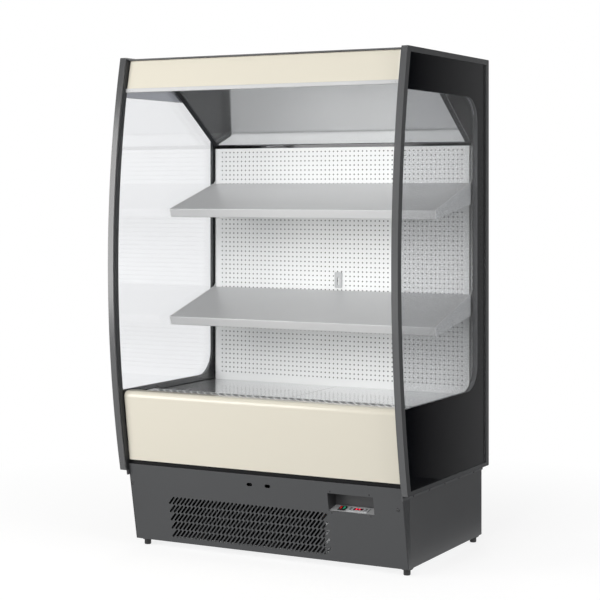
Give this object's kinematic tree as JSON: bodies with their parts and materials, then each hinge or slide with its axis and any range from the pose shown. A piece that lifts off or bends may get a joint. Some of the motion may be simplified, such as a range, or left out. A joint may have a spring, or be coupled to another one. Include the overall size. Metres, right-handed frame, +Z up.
{
  "type": "open multideck display fridge",
  "caption": "Open-front refrigerated wall cabinet with bowed glazed sides, hanging shelves, mirror canopy and a louvred plinth with its controls.",
  "frame": {"origin": "on the floor under the middle of the whole cabinet's outline", "axes": "+Z up, +X to the right seen from the open front, +Y from the open front to the back"},
  "size_m": [1.126, 0.793, 1.752],
  "materials": {
    "frame_grey": "satin anodised",
    "pane_glass": "clear",
    "core_black": "gloss",
    "strip_black": "matt",
    "body_white": "foam core with white skin",
    "cream_paint": "gloss",
    "trim_aluminium": "satin",
    "canopy_white": "satin",
    "mirror_steel": "polished",
    "strip_dark": "matt",
    "honeycomb_black": "matt",
    "lamp_white": "frosted",
    "panel_white": "satin",
    "shelf_grey": "satin",
    "kick_grey": "metallic satin",
    "plinth_grey": "satin",
    "steel_zinc": "zinc plated",
    "recess_steel": "satin",
    "case_grey": "satin",
    "display_red": "gloss",
    "key_grey": "satin",
    "switch_black": "gloss",
    "rocker_red": "gloss",
    "rocker_green": "gloss",
    "foot_black": "matt",
    "compressor_black": "satin",
    "coil_aluminium": "mill",
    "fan_black": "matt",
    "tray_black": "matt",
    "copper_line": "dull",
    "box_grey": "matt"
  },
  "bodies": {
    "cabinet": {"side_frame_left": "frame_grey", "side_frame_right": "frame_grey", "side_panes_left": "pane_glass", "side_panes_right": "pane_glass", "side_core_left": "core_black", "side_core_right": "core_black", "side_strips": "strip_black", "insulated_tub": "body_white", "rear_wall": "body_white", "roof_slab": "body_white", "roof_cover": "plinth_grey", "header_panel": "cream_paint", "header_trim": "trim_aluminium", "canopy_ceiling": "canopy_white", "air_honeycomb": "honeycomb_black", "canopy_mirror": "mirror_steel", "canopy_edge_strips": "strip_dark", "lamp_fitting": "canopy_white", "lamp_tube": "lamp_white", "back_panel": "panel_white", "shelf_uprights": "panel_white", "probe_clip": "case_grey", "front_panel": "cream_paint", "kick_panel": "kick_grey", "control_box": "recess_steel", "thermostat_case": "case_grey", "thermostat_display": "display_red", "rocker_housing": "switch_black", "plinth_frame": "steel_zinc", "plinth_side_left": "plinth_grey", "plinth_side_right": "plinth_grey", "plinth_rear_grille": "plinth_grey", "condenser_coil": "coil_aluminium", "condenser_fan_shroud": "steel_zinc", "compressor": "compressor_black", "drip_tray": "tray_black", "electrical_box": "box_grey", "evaporator_coil": "coil_aluminium", "evaporator_fan_plate": "steel_zinc", "pipework": "copper_line"},
    "upper_shelf": {"upper_shelf": "shelf_grey", "upper_shelf_brackets": "shelf_grey"},
    "lower_shelf": {"lower_shelf": "shelf_grey", "lower_shelf_brackets": "shelf_grey"},
    "deck_pan_left": {"deck_pan_left": "panel_white"},
    "deck_pan_right": {"deck_pan_right": "panel_white"},
    "return_grille": {"return_grille": "panel_white"},
    "power_rocker": {"power_rocker": "rocker_red"},
    "light_rocker": {"light_rocker": "rocker_green"},
    "thermostat_key_up": {"thermostat_key_up": "key_grey"},
    "thermostat_key_down": {"thermostat_key_down": "key_grey"},
    "thermostat_key_set": {"thermostat_key_set": "key_grey"},
    "thermostat_key_light": {"thermostat_key_light": "key_grey"},
    "condenser_fan": {"condenser_fan": "fan_black"},
    "evaporator_fan_left": {"evaporator_fan_left": "fan_black"},
    "evaporator_fan_right": {"evaporator_fan_right": "fan_black"},
    "foot_front_left": {"foot_front_left": "foot_black"},
    "foot_front_right": {"foot_front_right": "foot_black"},
    "foot_rear_left": {"foot_rear_left": "foot_black"},
    "foot_rear_right": {"foot_rear_right": "foot_black"}
  },
  "joints": [
    {"name": "upper_shelf_tilt", "type": "hinge", "parent": "cabinet", "child": "upper_shelf", "pos_m": [0, 0.3055, 1.307], "axis": [-1, 0, 0], "range_deg": [0, 16]},
    {"name": "lower_shelf_tilt", "type": "hinge", "parent": "cabinet", "child": "lower_shelf", "pos_m": [0, 0.3055, 0.907], "axis": [-1, 0, 0], "range_deg": [0, 16]},
    {"name": "deck_pan_left_lift", "type": "slide", "parent": "cabinet", "child": "deck_pan_left", "axis": [0, 0, 1], "range_m": [0, 0.06]},
    {"name": "deck_pan_right_lift", "type": "slide", "parent": "cabinet", "child": "deck_pan_right", "axis": [0, 0, 1], "range_m": [0, 0.06]},
    {"name": "return_grille_lift", "type": "slide", "parent": "cabinet", "child": "return_grille", "axis": [0, 0, 1], "range_m": [0, 0.05]},
    {"name": "power_rocker_press", "type": "hinge", "parent": "cabinet", "child": "power_rocker", "pos_m": [0.2909, -0.25792, 0.20557], "axis": [-1, 0, 0], "range_deg": [0, 18]},
    {"name": "light_rocker_press", "type": "hinge", "parent": "cabinet", "child": "light_rocker", "pos_m": [0.3025, -0.25792, 0.20557], "axis": [-1, 0, 0], "range_deg": [0, 18]},
    {"name": "thermostat_key_up_press", "type": "slide", "parent": "cabinet", "child": "thermostat_key_up", "axis": [0, 0.2079, -0.9781], "range_m": [0, 0.0006], "stiffness_N_per_m": 400, "springref_m": -0.0002},
    {"name": "thermostat_key_down_press", "type": "slide", "parent": "cabinet", "child": "thermostat_key_down", "axis": [0, 0.2079, -0.9781], "range_m": [0, 0.0006], "stiffness_N_per_m": 400, "springref_m": -0.0002},
    {"name": "thermostat_key_set_press", "type": "slide", "parent": "cabinet", "child": "thermostat_key_set", "axis": [0, 0.2079, -0.9781], "range_m": [0, 0.0006], "stiffness_N_per_m": 400, "springref_m": -0.0002},
    {"name": "thermostat_key_light_press", "type": "slide", "parent": "cabinet", "child": "thermostat_key_light", "axis": [0, 0.2079, -0.9781], "range_m": [0, 0.0006], "stiffness_N_per_m": 400, "springref_m": -0.0002},
    {"name": "condenser_fan_spin", "type": "hinge", "parent": "cabinet", "child": "condenser_fan", "pos_m": [-0.08, -0.0602, 0.151], "axis": [0, 1, 0], "continuous": true},
    {"name": "evaporator_fan_left_spin", "type": "hinge", "parent": "cabinet", "child": "evaporator_fan_left", "pos_m": [-0.25, -0.1365, 0.44425], "axis": [0, 1, 0], "continuous": true},
    {"name": "evaporator_fan_right_spin", "type": "hinge", "parent": "cabinet", "child": "evaporator_fan_right", "pos_m": [0.25, -0.1365, 0.44425], "axis": [0, 1, 0], "continuous": true},
    {"name": "foot_front_left_turn", "type": "hinge", "parent": "cabinet", "child": "foot_front_left", "pos_m": [-0.5135, -0.2145, 0], "axis": [0, 0, 1], "continuous": true},
    {"name": "foot_front_right_turn", "type": "hinge", "parent": "cabinet", "child": "foot_front_right", "pos_m": [0.5135, -0.2145, 0], "axis": [0, 0, 1], "continuous": true},
    {"name": "foot_rear_left_turn", "type": "hinge", "parent": "cabinet", "child": "foot_rear_left", "pos_m": [-0.5135, 0.3665, 0], "axis": [0, 0, 1], "continuous": true},
    {"name": "foot_rear_right_turn", "type": "hinge", "parent": "cabinet", "child": "foot_rear_right", "pos_m": [0.5135, 0.3665, 0], "axis": [0, 0, 1], "continuous": true}
  ]
}
